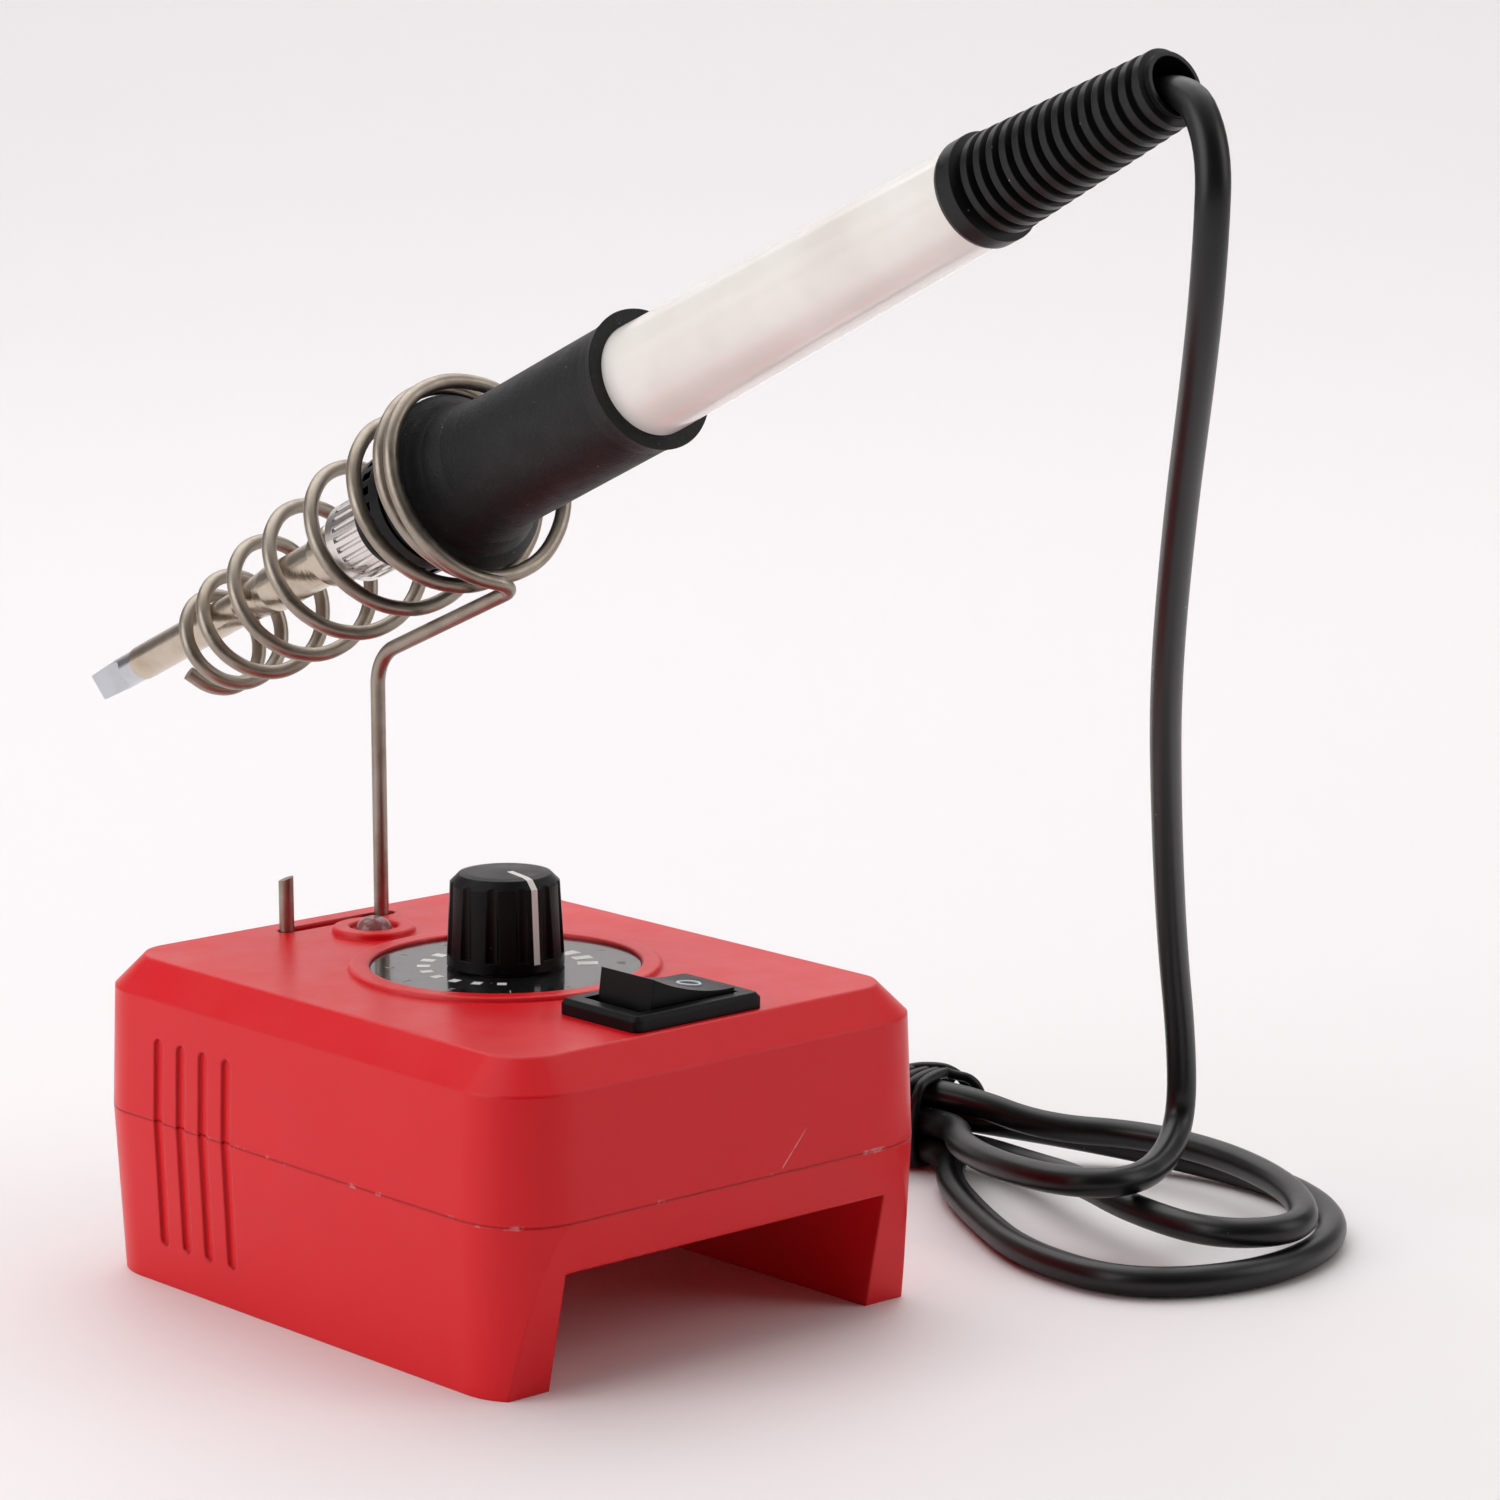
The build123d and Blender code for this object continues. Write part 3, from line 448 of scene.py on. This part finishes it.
axis_t = tuple(AXIS)
mats = {
    "shell_red": make_red(),
    "dial_black": make_black("dial_black", 24, 0.16, 1800, dust=0.03, coat=0.6, soft=0.0, strength=0.06),
    "black_plastic": make_black("black_plastic", 4, 0.33, 2400, dust=0.02, soft=0.00025, strength=0.22,
                                spec=0.15),
    "pointer_white": make_white("pointer_white", srgb(240, 238, 234), 0.42),
    "mark_grey": make_white("mark_grey", srgb(150, 152, 154), 0.4),
    "mark_white": make_white("mark_white", srgb(214, 226, 236), 0.35),
    "sleeve_white": make_white("sleeve_white", srgb(252, 248, 243), 0.16, coat=0.5),
    "black_rubber": make_black("black_rubber", 15, 0.34, 1500, dust=0.02, soft=0.0002, strength=0.25),
    "grip_black": make_grip(),
    "wire_nickel": make_metal("wire_nickel", srgb(160, 150, 138), 0.37, blotch=(120, 104, 90), amount=0.55),
    "tip_plate": make_metal("tip_plate", srgb(196, 200, 206), 0.14, axis_t, 2600, (150, 140, 130), 0.3,
                            0.0001),
    "barrel_steel": make_metal("barrel_steel", srgb(200, 188, 172), 0.14, axis_t, 2200, (150, 126, 92), 0.5),
    "nut_chrome": make_metal("nut_chrome", srgb(226, 222, 218), 0.14, axis_t, 1800, (170, 160, 150), 0.25,
                             0.0001),
    "hardware_steel": make_metal("hardware_steel", srgb(196, 196, 194), 0.36, soft=0.0001),
    "shaft_alu": make_metal("shaft_alu", srgb(208, 208, 210), 0.36, soft=0.0001),
    "board_green": make_white("board_green", srgb(30, 96, 56), 0.35),
    "part_grey": make_black("part_grey", 120, 0.45, 1500, dust=0.02),
    "lamp_clear": make_lamp("lamp_clear", srgb(226, 150, 152), 0.7),
    "cord_black": make_black("cord_black", 14, 0.34, 900, dust=0.03, soft=0.0, strength=0.02, spec=0.42,
                             mottle=0.2),
    "tie_black": make_black("tie_black", 12, 0.33, 1200, dust=0.02, soft=0.0001),
}
slot_of = {entry["node"]: entry["material_slot"] for entry in frame["record"]["subparts"]}


def dress(obj, slot):
    obj.data.materials.clear()
    obj.data.materials.append(mats[slot])


for name, obj in nodes.items():
    dress(obj, slot_of[name])
    obj.data.polygons.foreach_set("use_smooth", [True] * len(obj.data.polygons))
    obj.data.update()
    if hasattr(obj.data, "set_sharp_from_angle"):
        obj.data.set_sharp_from_angle(angle=math.radians(32))
dress(cord, "cord_black")
for piece in (tie, end_a, end_b):
    dress(piece, "tie_black")


# ---------------------------------------------------------------- printed dial
def bar(name, spot, angle, long_side, short_side, top, thick, body, slot):
    c = math.cos(angle)
    s = math.sin(angle)
    verts = []
    for z in (top - thick, top):
        for a, b in ((-1, -1), (1, -1), (1, 1), (-1, 1)):
            x = a * long_side / 2
            y = b * short_side / 2
            verts.append((spot[0] + x * c - y * s, spot[1] + x * s + y * c, z))
    faces = [(3, 2, 1, 0), (4, 5, 6, 7), (0, 1, 5, 4), (1, 2, 6, 5), (2, 3, 7, 6), (3, 0, 4, 7)]
    made = link(name, verts, faces, body, smooth=False)
    dress(made, slot)
    return made


DIAL_TOP = 0.04217
BAR_CIRCLE = 0.0106
NUMBER_CIRCLE = 0.0149
BARS = 16
for k in range(BARS):
    angle = math.radians(228.2 - 17.6 * k)
    share = k / (BARS - 1)
    spot = (BAR_CIRCLE * math.cos(angle), BAR_CIRCLE * math.sin(angle))
    bar("dial_bar_%02d" % k, spot, angle, (1.2 + 1.5 * share) * MM, (1.2 + 0.6 * share) * MM,
        DIAL_TOP, 0.00006, "base", "pointer_white")
for k in range(11):
    angle = math.radians(263 - 29.9 * k)
    text = bpy.data.curves.new("dial_number_%02d" % k, "FONT")
    text.body = str(k)
    text.size = 0.0017
    text.align_x = "CENTER"
    text.align_y = "CENTER"
    text.extrude = 0.00002
    holder = bpy.data.objects.new("dial_number_tmp", text)
    scene.collection.objects.link(holder)
    bpy.context.view_layer.update()
    mesh = bpy.data.meshes.new_from_object(holder.evaluated_get(bpy.context.evaluated_depsgraph_get()))
    bpy.data.objects.remove(holder)
    place = (NUMBER_CIRCLE * math.cos(angle), NUMBER_CIRCLE * math.sin(angle), DIAL_TOP - 0.00001)
    mesh.transform(Matrix.Translation(place) @ Matrix.Rotation(angle - math.pi / 2, 4, "Z"))
    number = bpy.data.objects.new("dial_number_%02d" % k, mesh)
    scene.collection.objects.link(number)
    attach(number, "base")
    dress(number, "mark_grey")


# ---------------------------------------------------------------- marks on the rocker
def ring(name, centre, normal, inner, outer, thick, body, slot, steps=48):
    normal = Vector(normal).normalized()
    u = normal.orthogonal().normalized()
    v = normal.cross(u)
    verts = []
    faces = []
    for k in range(steps):
        ang = 2 * math.pi * k / steps
        d = u * math.cos(ang) + v * math.sin(ang)
        for radius, lift in ((inner, 0), (outer, 0), (outer, thick), (inner, thick)):
            verts.append(Vector(centre) + d * radius + normal * lift)
    for k in range(steps):
        a = 4 * k
        b = 4 * ((k + 1) % steps)
        for j in range(4):
            faces.append((a + j, a + (j + 1) % 4, b + (j + 1) % 4, b + j))
    made = link(name, verts, faces, body, smooth=False)
    dress(made, slot)
    return made


rock = math.radians(12)
local_x = Vector((math.cos(rock), 0, -math.sin(rock)))
local_z = Vector((math.sin(rock), 0, math.cos(rock)))
pivot = Vector((-0.001, -0.0318, 0.0405))


def pad_height(x):
    """Height of the pressed pad above the pivot, an arc through three points, in mm."""
    (ax, az), (bx, bz), (cx, cz) = (0.0, 4.9), (3.4, 5.0), (6.8, 5.6)
    share_a = (x - bx) * (x - cx) / ((ax - bx) * (ax - cx))
    share_b = (x - ax) * (x - cx) / ((bx - ax) * (bx - cx))
    share_c = (x - ax) * (x - bx) / ((cx - ax) * (cx - bx))
    return az * share_a + bz * share_b + cz * share_c


OFF_CENTRE = 3.6
OFF_RADIUS = 1.45
off_mark = []
for k in range(41):
    ang = 2 * math.pi * k / 40
    x = OFF_CENTRE + OFF_RADIUS * math.cos(ang)
    off_mark.append(pivot + local_x * (x * MM) + local_z * (pad_height(x) * MM + 0.00002)
                    + Vector((0, 1, 0)) * (OFF_RADIUS * MM * math.sin(ang)))
off_verts, off_faces = tube(off_mark, 0.00017, 8)
off = link("rocker_off_mark", off_verts, off_faces, "rocker")
dress(off, "mark_white")
bar_spot = pivot - local_x * 0.0036 + local_z * 0.00522
mark = bar("rocker_on_mark", (0, 0), 0.0, 0.0030, 0.0005, 0.00006, 0.00012, "rocker", "pointer_white")
turned = Matrix.Rotation(rock, 4, "Y") @ Matrix.Rotation(math.pi / 2, 4, "Z")
mark.data.transform(Matrix.Translation(bar_spot) @ turned)

# lamp: the metal cup inside the clear body
ring("lamp_cup", (0, 0.0278, 0.0390), (0, 0, 1), 0.0004, 0.0013, 0.0012, "base", "hardware_steel", 32)

# ---------------------------------------------------------------- floor and light
floor = bpy.data.meshes.new("floor")
SWEEP_START = 1.6
SWEEP_R = 1.2
profile = [(-6.0, 0.0), (SWEEP_START, 0.0)]
for k in range(1, 13):
    ang = math.radians(90 * k / 12)
    profile.append((SWEEP_START + SWEEP_R * math.sin(ang), SWEEP_R - SWEEP_R * math.cos(ang)))
profile.append((SWEEP_START + SWEEP_R, 6.0))
verts = []
for a, z in profile:
    for b in (-7.0, 7.0):
        verts.append((0.667 * a + 0.745 * b, 0.745 * a - 0.667 * b, z))
faces = [(2 * i, 2 * i + 1, 2 * i + 3, 2 * i + 2) for i in range(len(profile) - 1)]
floor.from_pydata(verts, [], faces)
floor.polygons.foreach_set("use_smooth", [True] * len(floor.polygons))
floor_obj = bpy.data.objects.new("floor", floor)
scene.collection.objects.link(floor_obj)
paper = Shader("paper", srgb(243, 239, 240), 0.55, specular=0.3)
paper.bump(paper.noise(900, 3), 0.04, 0.0001)
floor.materials.append(paper.mat)

world = bpy.data.worlds.new("world")
scene.world = world
world.use_nodes = True
sky = world.node_tree
sky.nodes["Background"].inputs["Color"].default_value = (1.0, 0.985, 0.985, 1.0)
# the room is bright behind and above the object and dim on the side it is seen from
facing = sky.nodes.new("ShaderNodeVectorMath")
facing.operation = "DOT_PRODUCT"
facing.inputs[1].default_value = (-0.66, -0.73, -0.10)
sky.links.new(sky.nodes.new("ShaderNodeTexCoord").outputs["Generated"], facing.inputs[0])
fade = sky.nodes.new("ShaderNodeMapRange")
fade.interpolation_type = "SMOOTHSTEP"
fade.inputs["From Min"].default_value = -0.35
fade.inputs["From Max"].default_value = 0.75
fade.inputs["To Min"].default_value = 0.77
fade.inputs["To Max"].default_value = 0.05
sky.links.new(facing.outputs["Value"], fade.inputs["Value"])
sky.links.new(fade.outputs["Result"], sky.nodes["Background"].inputs["Strength"])


def area(name, spot, target, size, size_y, power, color=(1, 1, 1)):
    data = bpy.data.lights.new(name, "AREA")
    data.shape = "RECTANGLE"
    data.size = size
    data.size_y = size_y
    data.energy = power
    data.color = color
    obj = bpy.data.objects.new(name, data)
    scene.collection.objects.link(obj)
    obj.location = spot
    obj.rotation_euler = (Vector(target) - Vector(spot)).to_track_quat("-Z", "Y").to_euler()
    return obj


# soft boxes: overhead and behind, from the left, a weaker one from the right, and one on the far paper
area("over", (0.15, 0.35, 1.15), (0, 0, 0.03), 1.3, 1.0, 4.7)
area("left", (-1.05, 0.25, 0.55), (0, 0, 0.06), 0.9, 0.9, 5.8)
area("right", (0.75, -0.95, 0.60), (0, 0, 0.06), 0.6, 0.8, 2.2, (1.0, 0.97, 0.94))
area("far", (1.5, 1.68, 1.6), (1.3, 1.45, 0.0), 3.4, 3.0, 42.0)
scene.view_settings.view_transform = "Standard"
